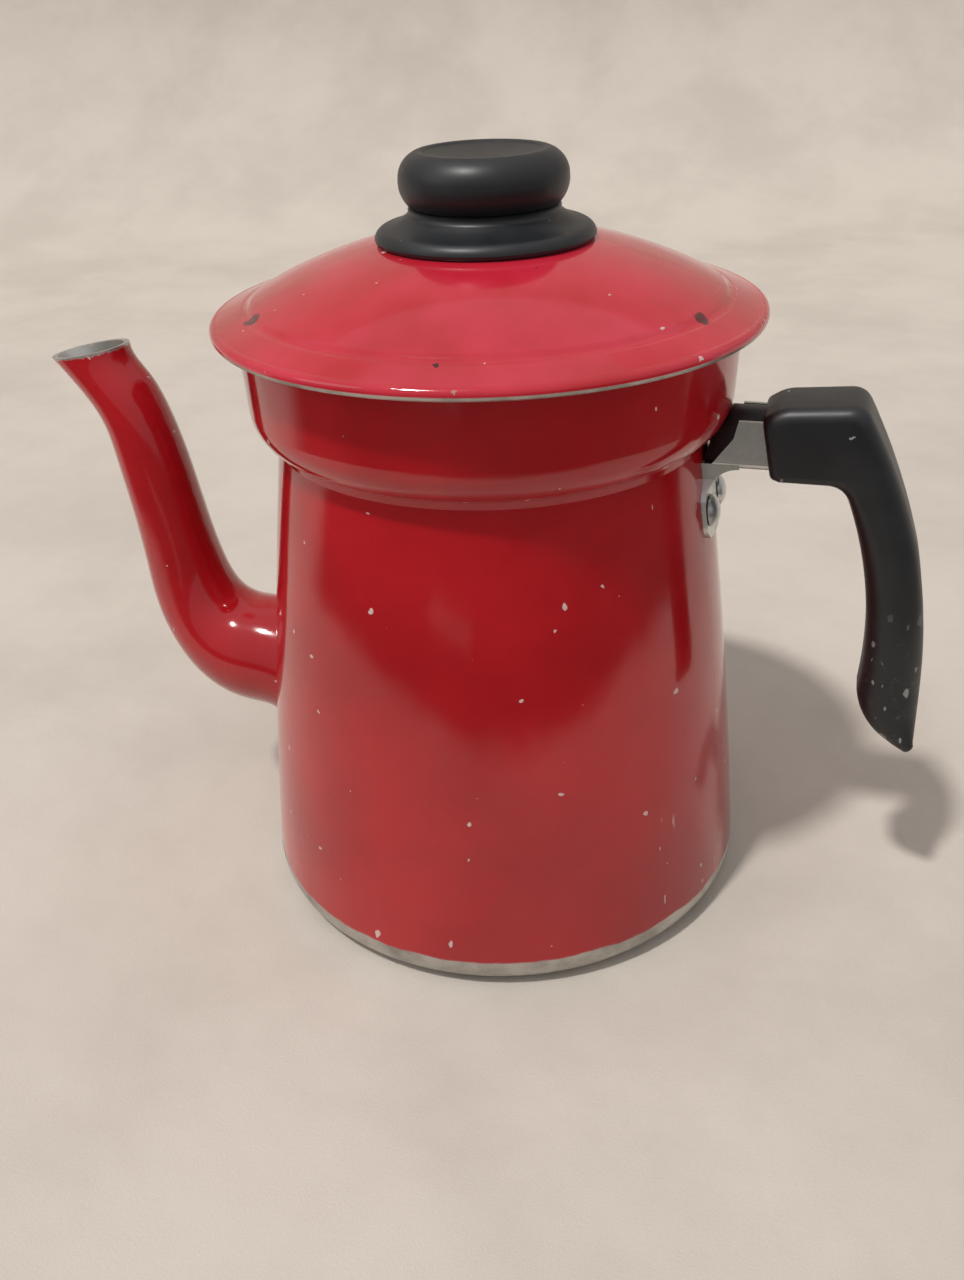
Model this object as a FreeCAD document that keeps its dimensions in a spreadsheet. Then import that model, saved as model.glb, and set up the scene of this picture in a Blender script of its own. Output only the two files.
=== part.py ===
"""Enamelled aluminium coffee pot with a swan-neck spout, a lift-off lid and a free-end handle.

Frame: millimetres, +Z up, origin at the centre of the flat base. The spout points along -X and
the handle along +X; the XZ plane is the plane of symmetry.
"""
import FreeCAD, Part
import math
import os
import Sketcher

DRIVING = [
    ("foot_radius", 63.4, "flat of the base that rests on the table"),
    ("base_radius", 71.2, "widest radius, at the top of the rounded bottom edge"),
    ("base_corner", 7.8, "radius of the rounded bottom edge"),
    ("side_bow", 1800.0, "radius of the slight outward bow of the tapered side"),
    ("wall", 1.6, "sheet thickness of the pot"),
    ("waist_radius", 56.8, "radius of the crease under the collar"),
    ("waist_height", 135.6, "height of the crease under the collar"),
    ("collar_radius", 63.2, "radius of the collar above its rounded underside"),
    ("collar_round", 10.7, "radius of the rounded underside of the collar"),
    ("collar_height", 147.0, "height where the collar becomes straight"),
    ("mouth_radius", 64.0, "outer radius of the collar at the mouth"),
    ("mouth_height", 168.35, "top of the rolled bead round the mouth"),
    ("bead_out", 0.2, "how far the centre of the mouth bead lies outside the mouth radius"),
    ("spout_height", 54.8, "height of the spout's axis where it meets the side"),
    ("spout_root", 17.7, "outer radius of the spout at its root"),
    ("spout_tip", 9.8, "outer radius of the spout's neck"),
    ("spout_wall", 1.4, "sheet thickness of the spout"),
    ("mouth_cut", 12.0, "half length of the slanting cut at the spout's mouth"),
    ("mouth_half_width", 8.8, "half width of the spout's mouth"),
    ("lid_radius", 70.3, "outermost radius of the lid"),
    ("lid_sheet", 1.2, "sheet thickness of the lid"),
    ("lid_roll", 1.7, "radius of the rolled rim of the lid"),
    ("roll_height", 166.9, "height of the centre of the rolled rim"),
    ("dome_radius", 129.4, "radius of curvature of the lid's dome"),
    ("dome_top", 186.9, "top of the dome on the axis"),
    ("groove_radius", 60.9, "radius of the crease between the dome and the flange"),
    ("groove_bend", 3.0, "bending radius of the sheet at the crease"),
    ("skirt_radius", 61.7, "outer radius of the lid's folded locating skirt"),
    ("skirt_bottom", 161.0, "lower end of the locating skirt"),
    ("flange_height", 171.0, "top of the flange beside the crease"),
    ("knob_base_radius", 27.5, "widest radius of the knob's lower disc"),
    ("knob_seam", 192.3, "height of the seam between the two tiers of the knob"),
    ("knob_radius", 20.9, "widest radius of the knob's upper tier"),
    ("knob_top", 204.9, "top of the knob"),
    ("screw_radius", 1.55, "radius of the screws' shanks"),
    ("thread_radius", 1.57, "bore radius of the threaded inserts"),
    ("screw_hole", 1.75, "radius of the clearance holes for the screws"),
    ("insert_radius", 3.5, "outer radius of the threaded inserts"),
    ("bracket_half", 8.0, "half width of the bracket's channel"),
    ("bracket_sheet", 1.2, "sheet thickness of the bracket"),
    ("bracket_floor", 130.6, "underside of the bracket's channel"),
    ("bracket_top", 143.2, "top of the bracket's side walls"),
    ("bracket_end", 92.0, "far end of the channel, inside the handle"),
    ("bracket_bend", 7.0, "radius of the bend between the channel and its tab"),
    ("tab_half", 11.5, "half width of the bracket's riveted tab"),
    ("tab_bottom", 111.5, "lower end of the riveted tab"),
    ("rivet_side", 7.2, "distance of each rivet from the plane of symmetry"),
    ("rivet_height", 118.8, "height of the rivets"),
    ("rivet_shank", 1.8, "radius of the rivets' shanks"),
    ("rivet_head", 4.2, "radius of the rivets' domed heads"),
    ("grip_half", 11.0, "half width of the handle's block"),
    ("grip_tip_half", 8.8, "half width of the handle's free end"),
    ("block_bottom", 128.4, "underside of the handle's block"),
    ("block_top", 148.6, "top of the handle's block at the back"),
    ("screw_place", 84.0, "distance of the handle screw from the axis"),
    ("fit_gap", 0.1, "gap between the handle and its bracket"),
]

doc = FreeCAD.newDocument("coffee_pot")
sheet = doc.addObject("Spreadsheet::Sheet", "Sizes")


class Size:
    """A length with its value and the formula that binds it to the sheet."""

    def __init__(self, value, formula):
        self.value = value
        self.formula = formula

    def __add__(self, other):
        other = as_size(other)
        return Size(self.value + other.value, f"({self.formula} + {other.formula})")

    def __sub__(self, other):
        other = as_size(other)
        return Size(self.value - other.value, f"({self.formula} - {other.formula})")

    def __mul__(self, other):
        other = as_size(other)
        return Size(self.value * other.value, f"({self.formula} * {other.formula})")


def as_size(number):
    if isinstance(number, Size):
        return number
    return Size(float(number), f"({float(number)})")


def root(size):
    return Size(math.sqrt(size.value), f"sqrt({size.formula})")


class Dimensions:
    pass


dim = Dimensions()
for row, (name, value, note) in enumerate(DRIVING, start=1):
    sheet.set(f"A{row}", name)
    sheet.set(f"B{row}", str(value))
    sheet.set(f"C{row}", note)
    sheet.setAlias(f"B{row}", name)
    setattr(dim, name, Size(value, f"Sizes.{name}"))
doc.recompute()


# ---------------------------------------------------------------- helpers

def new_body(label):
    body = doc.addObject("PartDesign::Body", label)
    body.Label = label
    return body


def origin_plane(body, role):
    return [item for item in body.Origin.OriginFeatures if item.Role == role][0]


def new_sketch(body, name, role="XZ_Plane", offset=None):
    sketch = body.newObject("Sketcher::SketchObject", name)
    sketch.AttachmentSupport = [(origin_plane(body, role), "")]
    sketch.MapMode = "FlatFace"
    if offset is not None:
        sketch.AttachmentOffset = offset
    return sketch


def arc_between(start, end, radius, turn, large):
    """Arc from start to end; turn is 1 for counter-clockwise travel and -1 for clockwise."""
    chord = end - start
    height = math.sqrt(max(radius ** 2 - (chord.Length / 2) ** 2, 0.0))
    left = FreeCAD.Vector(-chord.y, chord.x, 0).normalize()
    side = -turn if large else turn
    centre = (start + end) * 0.5 + left * height * side
    first, last = (start, end) if turn > 0 else (end, start)
    angles = [math.atan2(p.y - centre.y, p.x - centre.x) for p in (first, last)]
    circle = Part.Circle(centre, FreeCAD.Vector(0, 0, 1), radius)
    return Part.ArcOfCircle(circle, angles[0], angles[1])


def pin(sketch, geometry, vertex, axis, size):
    """Fixes one coordinate of a vertex, on the sketch's own axis where it is zero."""
    if not isinstance(size, Size) and size == 0:
        own_axis = -2 if axis == "DistanceX" else -1
        sketch.addConstraint(Sketcher.Constraint("PointOnObject", geometry, vertex, own_axis))
        return
    size = as_size(size)
    index = sketch.addConstraint(Sketcher.Constraint(axis, -1, 1, geometry, vertex, size.value))
    sketch.setExpression(f"Constraints[{index}]", size.formula)


def outline(sketch, corners):
    """Closed outline. A corner is (x, y) or (x, y, radius, turn[, large]), where the last three
    describe the arc that arrives at that corner from the one before it."""
    places = [FreeCAD.Vector(as_size(c[0]).value, as_size(c[1]).value, 0) for c in corners]
    starts = []
    for number, corner in enumerate(corners):
        start, end = places[number - 1], places[number]
        if len(corner) == 2:
            index = sketch.addGeometry(Part.LineSegment(start, end), False)
            starts.append((index, 1, 2))
            continue
        radius, turn = as_size(corner[2]), corner[3]
        large = len(corner) > 4
        index = sketch.addGeometry(arc_between(start, end, radius.value, turn, large), False)
        starts.append((index, 1, 2) if turn > 0 else (index, 2, 1))
    for number, (index, first, last) in enumerate(starts):
        after, after_first, _ = starts[(number + 1) % len(starts)]
        sketch.addConstraint(Sketcher.Constraint("Coincident", index, last, after, after_first))
        pin(sketch, index, last, "DistanceX", corners[number][0])
        pin(sketch, index, last, "DistanceY", corners[number][1])
        if len(corners[number]) > 2:
            radius = as_size(corners[number][2])
            rule = sketch.addConstraint(Sketcher.Constraint("Radius", index, radius.value))
            sketch.setExpression(f"Constraints[{rule}]", radius.formula)
    return sketch


def circle(sketch, x, y, radius):
    radius = as_size(radius)
    centre = FreeCAD.Vector(as_size(x).value, as_size(y).value, 0)
    index = sketch.addGeometry(Part.Circle(centre, FreeCAD.Vector(0, 0, 1), radius.value), False)
    pin(sketch, index, 3, "DistanceX", x)
    pin(sketch, index, 3, "DistanceY", y)
    rule = sketch.addConstraint(Sketcher.Constraint("Radius", index, radius.value))
    sketch.setExpression(f"Constraints[{rule}]", radius.formula)
    return sketch


def turned(body, kind, name, sketch, axis="V_Axis"):
    """Revolution or Groove of a sketch, all the way round one of the sketch's axes."""
    feature = body.newObject(f"PartDesign::{kind}", name)
    feature.Profile = sketch
    feature.ReferenceAxis = (sketch, [axis])
    feature.Angle = 360.0
    return feature


def cutting(body, feature):
    """Recomputes and makes sure that the last cut removed something."""
    before = feature.BaseFeature.Shape.Volume
    doc.recompute()
    if feature.Shape.Volume > before - 0.01:
        raise RuntimeError(f"{feature.Name} in {body.Label} cuts nothing")
    return feature


def pocket(body, name, sketch, length, reverse=False):
    feature = body.newObject("PartDesign::Pocket", name)
    feature.Profile = sketch
    feature.Reversed = reverse
    feature.Length = as_size(length).value
    feature.setExpression("Length", as_size(length).formula)
    return cutting(body, feature)


def mirrored(body, name, feature):
    mirror = body.newObject("PartDesign::Mirrored", name)
    mirror.Originals = [feature]
    mirror.MirrorPlane = (origin_plane(body, "XZ_Plane"), [""])
    body.Tip = mirror
    doc.recompute()
    return mirror


def turned_part(label, corners):
    body = new_body(label)
    turned(body, "Revolution", f"{label}_turning", outline(new_sketch(body, f"{label}_half"), corners))
    return body


# ---------------------------------------------------------------- the pot's own outline

def side_outline(out):
    """Corners from the table up to the mouth, moved outwards by the amount out."""
    return [
        (dim.foot_radius, as_size(0) - out),
        (dim.base_radius + out, dim.base_corner, dim.base_corner + out, 1),
        (dim.waist_radius + out, dim.waist_height, dim.side_bow, 1),
        (dim.waist_radius + 0.3 + out, dim.waist_height + 1.9),
        (dim.collar_radius + out, dim.collar_height, dim.collar_round, 1),
    ]


def cut_around_pot(body, name, gap):
    """Takes the pot's outer shape, grown by a gap, out of a body."""
    corners = side_outline(as_size(gap))
    top = (dim.mouth_radius + gap, dim.mouth_height)
    half = outline(new_sketch(body, f"{name}_half"), [(0, -5.0), (dim.foot_radius, -5.0)]
                   + corners[1:] + [top, (0, dim.mouth_height)])
    return cutting(body, turned(body, "Groove", name, half))


def side_radius(height):
    """Outer radius of the tapered side at a height, from the bowed arc's chord and its bow."""
    low, high = dim.base_corner.value, dim.waist_height.value
    wide, narrow = dim.base_radius.value, dim.waist_radius.value
    share = (height - low) / (high - low)
    chord = math.hypot(high - low, wide - narrow)
    bow = chord ** 2 * share * (1 - share) / (2 * dim.side_bow.value)
    return wide + (narrow - wide) * share + bow


RIVET_FACE = side_radius(dim.rivet_height.value)
RIVET_TURN = math.degrees(math.asin(dim.rivet_side.value / RIVET_FACE))
RIVET_TILT = math.degrees(math.atan(side_radius(dim.rivet_height.value - 1) - RIVET_FACE))


def rivet_offset():
    """Attachment that turns a sketch's X axis into the axis of one rivet, out through the wall."""
    azimuth = math.radians(RIVET_TURN)
    place = FreeCAD.Vector(RIVET_FACE * math.cos(azimuth), dim.rivet_height.value,
                           -RIVET_FACE * math.sin(azimuth))
    swing = FreeCAD.Rotation(FreeCAD.Vector(0, 1, 0), RIVET_TURN)
    lift = FreeCAD.Rotation(FreeCAD.Vector(0, 0, 1), RIVET_TILT)
    return FreeCAD.Placement(place, swing * lift)


def rivet_holes(body, name):
    half = outline(new_sketch(body, f"{name}_half", offset=rivet_offset()),
                   [(-6.0, 0), (6.0, 0), (6.0, dim.rivet_shank + 0.05), (-6.0, dim.rivet_shank + 0.05)])
    groove = cutting(body, turned(body, "Groove", name, half, "H_Axis"))
    return mirrored(body, f"{name}_pair", groove)


# ---------------------------------------------------------------- pot and spout

def pot_body():
    wall = dim.wall
    bead = wall + dim.bead_out
    bead_height = dim.mouth_height - bead
    bead_foot = bead_height - root(bead * bead - dim.bead_out * dim.bead_out)
    outside = [(0, 0), (dim.foot_radius, 0)] + side_outline(as_size(0))[1:] + [
        (dim.mouth_radius, bead_foot),
        (dim.mouth_radius - wall, bead_height, bead, 1, True),
    ]
    inside = [
        (dim.collar_radius - wall, dim.collar_height),
        (dim.waist_radius + 0.3 - wall, dim.waist_height + 2.4, dim.collar_round - wall, -1),
        (dim.waist_radius - wall, dim.waist_height - 0.4),
        (dim.base_radius - wall, dim.base_corner, dim.side_bow, -1),
        (dim.foot_radius, wall, dim.base_corner - wall, -1),
        (0, wall),
    ]
    body = turned_part("pot_body", outside + inside)
    doc.recompute()
    hole = circle(new_sketch(body, "spout_hole", "YZ_Plane"), 0, dim.spout_height,
                  dim.spout_root - dim.spout_wall)
    pocket(body, "spout_opening", hole, dim.base_radius + 10)
    rivet_holes(body, "wall_rivet_hole")
    return body


def spout_stations():
    """(x, z, rise of the axis in degrees, outer radius) along the swan neck."""
    thick, thin = dim.spout_root, dim.spout_tip
    return [
        (-48.0, dim.spout_height - 3.9, 12.0, thick),
        (-66.0, dim.spout_height - 0.2, 13.0, thick),
        (-78.2, dim.spout_height + 2.6, 18.0, thick - 0.4),
        (-88.3, dim.spout_height + 6.6, 37.0, thick - 1.8),
        (-96.5, dim.spout_height + 16.8, 65.0, thick - 4.4),
        (-100.6, dim.spout_height + 33.4, 79.0, thin + 1.6),
        (-103.2, dim.spout_height + 52.2, 81.0, thin + 0.7),
        (-106.0, dim.spout_height + 68.9, 76.0, thin + 0.2),
        (-111.3, dim.spout_height + 84.4, 66.0, thin - 0.3),
    ]


def spout_section(body, name, place, height, rise, half_length, half_width):
    tilt = FreeCAD.Rotation(FreeCAD.Vector(1, 0, 0), rise)
    offset = FreeCAD.Placement(FreeCAD.Vector(0, height.value, place), tilt)
    sketch = new_sketch(body, name, "YZ_Plane", offset)
    sketch.setExpression("AttachmentOffset.Base.y", height.formula)
    if half_width is None:
        return circle(sketch, 0, 0, half_length)
    centre = FreeCAD.Vector(0, 0, 0)
    longer = FreeCAD.Vector(0, half_length.value, 0)
    wider = FreeCAD.Vector(-half_width.value, 0, 0)
    sketch.addGeometry(Part.Ellipse(longer, wider, centre), False)
    return sketch


def spout_loft(body, kind, name, thinner):
    sections = []
    for number, (place, height, rise, radius) in enumerate(spout_stations()):
        sections.append(spout_section(body, f"{name}_{number}", place, height, rise,
                                      radius - thinner, None))
    sections.append(spout_section(body, f"{name}_mouth", -119.1, dim.spout_height + 96.2, 80.0,
                                  dim.mouth_cut - thinner * 1.15, dim.mouth_half_width - thinner))
    loft = body.newObject(f"PartDesign::{kind}", name)
    loft.Profile = sections[0]
    loft.Sections = sections[1:]
    doc.recompute()
    return loft


def spout():
    body = new_body("spout")
    spout_loft(body, "AdditiveLoft", "spout_outside", as_size(0))
    spout_loft(body, "SubtractiveLoft", "spout_passage", dim.spout_wall)
    cut_around_pot(body, "spout_saddle", 0)
    return body


# ---------------------------------------------------------------- lid and knob

def dome_height(radius, drop):
    """Height of the dome's surface at a radius, a given drop under its outside."""
    ball = dim.dome_radius - drop
    radius = as_size(radius)
    return dim.dome_top - dim.dome_radius + root(ball * ball - radius * radius)


def lid():
    sheet_gap = dim.lid_sheet
    groove = dim.groove_radius
    bend = dim.groove_bend
    skirt_inner = dim.skirt_radius - 2.2
    roll_centre = dim.lid_radius - dim.lid_roll
    inner = roll_centre - dim.lid_roll
    under_flange = dim.roll_height + dim.lid_roll - sheet_gap + 0.8
    return turned_part("lid", [
        (dim.screw_hole, dome_height(dim.screw_hole, sheet_gap)),
        (skirt_inner, dome_height(skirt_inner, sheet_gap), dim.dome_radius - sheet_gap, -1),
        (skirt_inner, dim.skirt_bottom + 1.1),
        (dim.skirt_radius, dim.skirt_bottom + 1.1, 1.2, 1),
        (dim.skirt_radius, dim.flange_height - sheet_gap - 0.1),
        (inner, under_flange),
        (inner, dim.roll_height),
        (roll_centre, dim.roll_height + dim.lid_roll, dim.lid_roll, 1, True),
        (groove + 1.57, dim.flange_height - 0.15),
        (groove + 0.96, dim.flange_height - 0.01, bend, 1),
        (groove - 0.87, dim.flange_height + 0.92, bend, -1),
        (groove - 1.7, dome_height(groove - 1.7, 0), bend, 1),
        (dim.screw_hole, dome_height(dim.screw_hole, 0), dim.dome_radius, 1),
    ])


def knob_base():
    wide = dim.knob_base_radius
    neck = dim.knob_radius - 2.0
    seam = dim.knob_seam
    low = dome_height(wide - 0.9, 0)
    return turned_part("knob_base", [
        (dim.screw_hole, dome_height(dim.screw_hole, 0)),
        (wide - 0.9, low, dim.dome_radius, -1),
        (wide, low + 1.2, 1.5, 1),
        (wide - 2.4, low + 3.6, 2.9, 1),
        (neck + 0.8, seam - 2.1, 12.0, -1),
        (neck, seam - 0.4, 1.6, -1),
        (neck - 0.5, seam),
        (dim.screw_hole, seam),
    ])


def knob_grip():
    wide = dim.knob_radius
    seam = dim.knob_seam
    return turned_part("knob_grip", [
        (dim.insert_radius, seam),
        (wide - 3.3, seam),
        (wide - 1.9, seam + 0.7, 1.76, 1),
        (wide, seam + 6.6, 7.6, 1),
        (wide - 4.6, dim.knob_top, 6.4, 1),
        (wide - 6.4, dim.knob_top - 0.5, 2.4, 1),
        (0, dim.knob_top - 1.7, 90.0, -1),
        (0, seam + 9.4),
        (dim.insert_radius, seam + 9.4),
    ])


def knob_insert():
    seam = dim.knob_seam
    return turned_part("knob_insert", [
        (dim.thread_radius, seam),
        (dim.insert_radius - 0.3, seam),
        (dim.insert_radius, seam + 0.3),
        (dim.insert_radius, seam + 3.6),
        (dim.insert_radius - 0.5, seam + 4.0),
        (dim.insert_radius - 0.5, seam + 5.0),
        (dim.insert_radius, seam + 5.4),
        (dim.insert_radius, seam + 9.0),
        (dim.thread_radius, seam + 9.0),
    ])


def slot(body, name, width, depth_plane, depth, radius, place=0):
    """Screwdriver slot across a screw's head that faces down."""
    offset = FreeCAD.Placement(FreeCAD.Vector(0, 0, depth_plane.value), FreeCAD.Rotation())
    sketch = new_sketch(body, name, "XY_Plane", offset)
    sketch.setExpression("AttachmentOffset.Base.z", depth_plane.formula)
    middle = as_size(place)
    outline(sketch, [(middle - radius, -width / 2), (middle + radius, -width / 2),
                     (middle + radius, width / 2), (middle - radius, width / 2)])
    return pocket(body, f"{name}_cut", sketch, depth, reverse=True)


def screw(label, head_bottom, head_height, head_radius, shank_top, place=None):
    """Pan-head screw pointing up, its head at the bottom."""
    offset = None
    if place is not None:
        offset = FreeCAD.Placement(FreeCAD.Vector(place.value, 0, 0), FreeCAD.Rotation())
    body = new_body(label)
    sketch = new_sketch(body, f"{label}_half", offset=offset)
    if place is not None:
        sketch.setExpression("AttachmentOffset.Base.x", place.formula)
    outline(sketch, [
        (0, head_bottom),
        (head_radius - 1.0, head_bottom),
        (head_radius, head_bottom + 1.0, 1.0, 1),
        (head_radius, head_bottom + head_height),
        (dim.screw_radius, head_bottom + head_height),
        (dim.screw_radius, shank_top - 0.5),
        (dim.screw_radius - 0.5, shank_top),
        (0, shank_top),
    ])
    turned(body, "Revolution", f"{label}_turning", sketch)
    doc.recompute()
    middle = place if place is not None else as_size(0)
    slot(body, f"{label}_slot", 1.0, head_bottom, head_height * 0.5, head_radius + 1, middle)
    return body


def knob_fixing():
    under = dim.dome_top - dim.lid_sheet - 0.2
    turned_part("knob_washer", [
        (dim.screw_hole, under - 0.9),
        (6.0, under - 0.9),
        (6.0, under),
        (dim.screw_hole, under),
    ])
    screw("knob_screw", under - 3.3, as_size(2.4), as_size(3.8), dim.knob_seam + 8.2)


# ---------------------------------------------------------------- handle and bracket

def bracket_channel(body):
    """Folded channel: a floor and two side walls, whose near ends slant down to the tab."""
    sketch = new_sketch(body, "channel_section", "YZ_Plane")
    half, thick = dim.bracket_half, dim.bracket_sheet
    low, high = dim.bracket_floor, dim.bracket_top
    outline(sketch, [
        (half - 1.6, low),
        (half, low + 1.6, 1.6, 1),
        (half, high),
        (half - thick, high),
        (half - thick, low + 1.6),
        (half - 1.6, low + thick, 0.4, -1),
        (as_size(0) - half + 1.6, low + thick),
        (as_size(0) - half + thick, low + 1.6, 0.4, -1),
        (as_size(0) - half + thick, high),
        (as_size(0) - half, high),
        (as_size(0) - half, low + 1.6),
        (as_size(0) - half + 1.6, low, 1.6, 1),
    ])
    pad = body.newObject("PartDesign::Pad", "channel")
    pad.Profile = sketch
    pad.Length = dim.bracket_end.value
    pad.setExpression("Length", dim.bracket_end.formula)
    doc.recompute()
    notch = outline(new_sketch(body, "wall_slant"), [
        (0, dim.bracket_floor + 0.2),
        (dim.waist_radius + 1.9, dim.bracket_floor + 0.2),
        (dim.waist_radius + 7.6, dim.bracket_top - 4.5),
        (dim.waist_radius + 8.8, dim.bracket_top + 1),
        (0, dim.bracket_top + 1),
    ])
    slant = body.newObject("PartDesign::Pocket", "wall_slant_cut")
    slant.Profile = notch
    slant.Midplane = True
    slant.Length = 40.0
    cutting(body, slant)
    bore = circle(new_sketch(body, "bracket_screw_hole", "XY_Plane"), dim.screw_place, 0, dim.screw_hole)
    pocket(body, "bracket_screw_bore", bore, dim.bracket_floor + 3, reverse=True)


def handle_bracket():
    body = new_body("handle_bracket")
    bracket_channel(body)
    thick = dim.bracket_sheet
    low, high = dim.tab_bottom, dim.bracket_floor + 2.0
    wall_low = as_size(side_radius(low.value))
    wall_high = as_size(side_radius(high.value))
    bend = dim.bracket_bend
    wall_bend = as_size(side_radius((dim.bracket_floor - bend).value))
    ring = outline(new_sketch(body, "tab_half_section"), [
        (wall_low - 1.5, low),
        (wall_low + thick - 0.4, low),
        (wall_low + thick, low + 0.6),
        (wall_bend + thick, dim.bracket_floor - bend),
        (wall_bend + thick + bend, dim.bracket_floor, bend, -1),
        (wall_bend + thick + bend, dim.bracket_floor + thick),
        (wall_high - 1.5, dim.bracket_floor + thick),
    ])
    collar = body.newObject("PartDesign::Revolution", "tab_sweep")
    collar.Profile = ring
    collar.ReferenceAxis = (ring, ["V_Axis"])
    collar.Angle = 26.0
    collar.Midplane = True
    doc.recompute()
    trim = new_sketch(body, "tab_outline", "YZ_Plane")
    edge = dim.tab_half
    for side in (1, -1):
        corners = [
            (dim.bracket_half * side, dim.bracket_floor + 5),
            (dim.bracket_half * side, dim.bracket_floor - 3.0),
            (edge * side, dim.bracket_floor - 8.0),
            (edge * side, dim.tab_bottom + 4.0),
            ((edge - 4.0) * side, dim.tab_bottom, 4.0, -side),
            ((edge - 4.0) * side, dim.tab_bottom - 4.0),
            ((edge + 6.0) * side, dim.tab_bottom - 4.0),
            ((edge + 6.0) * side, dim.bracket_floor + 5),
        ]
        outline(trim, corners)
    pocket(body, "tab_trim", trim, 90, reverse=True)
    cut_around_pot(body, "bracket_seat", 0.02)
    rivet_holes(body, "tab_rivet_hole")
    return body


def bracket_rivets():
    """Two solid rivets, domed outside over the tab and flat inside the pot."""
    body = new_body("bracket_rivets")
    body.AllowCompound = True
    head = dim.rivet_head
    outer = dim.bracket_sheet + 0.2
    inner = as_size(0) - dim.wall - 0.25
    half = outline(new_sketch(body, "rivet_half", offset=rivet_offset()), [
        (inner - 1.3, 0),
        (outer + 2.2, 0),
        (outer + 0.5, head, 6.2, 1),
        (outer, head),
        (outer, dim.rivet_shank),
        (inner, dim.rivet_shank),
        (inner, head + 0.3),
        (inner - 0.8, head + 0.3),
        (inner - 1.3, head - 0.6),
    ])
    rivet = turned(body, "Revolution", "rivet", half, "H_Axis")
    doc.recompute()
    mirrored(body, "rivet_pair", rivet)
    return body


def handle_grip():
    body = new_body("handle_grip")
    low, high = dim.block_bottom, dim.block_top
    profile = outline(new_sketch(body, "grip_profile"), [
        (74.2, low),
        (87.4, low),
        (93.3, low - 4.0, 6.3, -1),
        (101.7, low - 60.6, 127.0, -1),
        (115.4, low - 76.0, 19.0, 1),
        (117.9, low - 74.8, 1.6, 1),
        (111.9, low - 18.0, 197.0, 1),
        (96.4, low + 17.8, 177.0, 1),
        (91.8, high, 5.0, 1),
        (76.4, high - 1.2),
        (70.9, high - 3.6),
    ])
    pad = body.newObject("PartDesign::Pad", "grip_blank")
    pad.Profile = profile
    pad.Midplane = True
    pad.Length = dim.grip_half.value * 2
    pad.setExpression("Length", (dim.grip_half * 2).formula)
    doc.recompute()
    taper = new_sketch(body, "grip_taper", "YZ_Plane")
    for side in (1, -1):
        outline(taper, [
            (dim.grip_half * side, high + 2.0),
            (dim.grip_tip_half * side, low - 80.0),
            ((dim.grip_half + 4) * side, low - 80.0),
            ((dim.grip_half + 4) * side, high + 2.0),
        ])
    pocket(body, "grip_sides", taper, 130, reverse=True)
    tongue(body)
    bracket_slots(body)
    cut_around_pot(body, "tongue_end", 0.3)
    bores = [("insert_pocket", dim.insert_radius, dim.bracket_floor, 12.4),
             ("screw_recess", as_size(4.8), as_size(100.0), dim.bracket_floor - 99.0)]
    for name, radius, start, length in bores:
        offset = FreeCAD.Placement(FreeCAD.Vector(0, 0, start.value), FreeCAD.Rotation())
        sketch = new_sketch(body, name, "XY_Plane", offset)
        pocket(body, f"{name}_bore", circle(sketch, dim.screw_place, 0, radius), length, reverse=True)
    return body


def tongue(body):
    """Tongue that fills the channel between the block and the pot."""
    half = dim.bracket_half - dim.bracket_sheet - dim.fit_gap
    low = dim.bracket_floor + dim.bracket_sheet
    high = dim.block_top - 4.0
    section = new_sketch(body, "tongue_section", "YZ_Plane",
                         FreeCAD.Placement(FreeCAD.Vector(0, 0, 45), FreeCAD.Rotation()))
    outline(section, [
        (as_size(0) - half + 0.8, low),
        (half - 0.8, low),
        (half, low + 0.8),
        (half, high - 3.0),
        (half - 3.0, high, 3.0, 1),
        (as_size(0) - half + 3.0, high),
        (as_size(0) - half, high - 3.0, 3.0, 1),
        (as_size(0) - half, low + 0.8),
    ])
    pad = body.newObject("PartDesign::Pad", "tongue")
    pad.Profile = section
    pad.Length = 45.0
    doc.recompute()


def bracket_slots(body):
    """Space inside the block for the bracket's channel."""
    gap = dim.fit_gap
    outer = dim.bracket_half + gap
    inner = dim.bracket_half - dim.bracket_sheet - gap
    low = dim.bracket_floor
    high = dim.bracket_top + 0.4
    floor = low + dim.bracket_sheet
    end = dim.bracket_end + 0.4
    offset = FreeCAD.Placement(FreeCAD.Vector(0, 0, 60), FreeCAD.Rotation())
    section = new_sketch(body, "slot_section", "YZ_Plane", offset)
    outline(section, [
        (as_size(0) - outer, low),
        (outer, low),
        (outer, high),
        (inner, high),
        (inner, floor + 0.6),
        (inner - 0.6, floor),
        (as_size(0) - inner + 0.6, floor),
        (as_size(0) - inner, floor + 0.6),
        (as_size(0) - inner, high),
        (as_size(0) - outer, high),
    ])
    pocket(body, "channel_slot", section, end - 60, reverse=True)


def handle_fixing():
    floor = dim.bracket_floor
    top = floor + dim.bracket_sheet
    offset = FreeCAD.Placement(FreeCAD.Vector(dim.screw_place.value, 0, 0), FreeCAD.Rotation())
    rings = [("handle_screw_washer", 4.4, floor - 0.7, floor, dim.screw_hole),
             ("handle_insert", dim.insert_radius, top, floor + 11.6, dim.thread_radius)]
    for label, radius, low, high, bore in rings:
        body = new_body(label)
        sketch = new_sketch(body, f"{label}_half", offset=offset)
        sketch.setExpression("AttachmentOffset.Base.x", dim.screw_place.formula)
        outline(sketch, [(bore, low), (as_size(radius), low), (as_size(radius), high), (bore, high)])
        turned(body, "Revolution", f"{label}_turning", sketch)
    screw("handle_screw", floor - 2.6, as_size(1.9), as_size(3.7), floor + 10.8, dim.screw_place)


# ---------------------------------------------------------------- build, check and write

pot_body()
spout()
lid()
knob_base()
knob_grip()
knob_insert()
knob_fixing()
handle_bracket()
bracket_rivets()
handle_grip()
handle_fixing()
doc.recompute()

for item in doc.Objects:
    if "Invalid" in item.State or "Error" in item.State:
        raise RuntimeError(f"{item.Label} failed: {item.State}")

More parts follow.
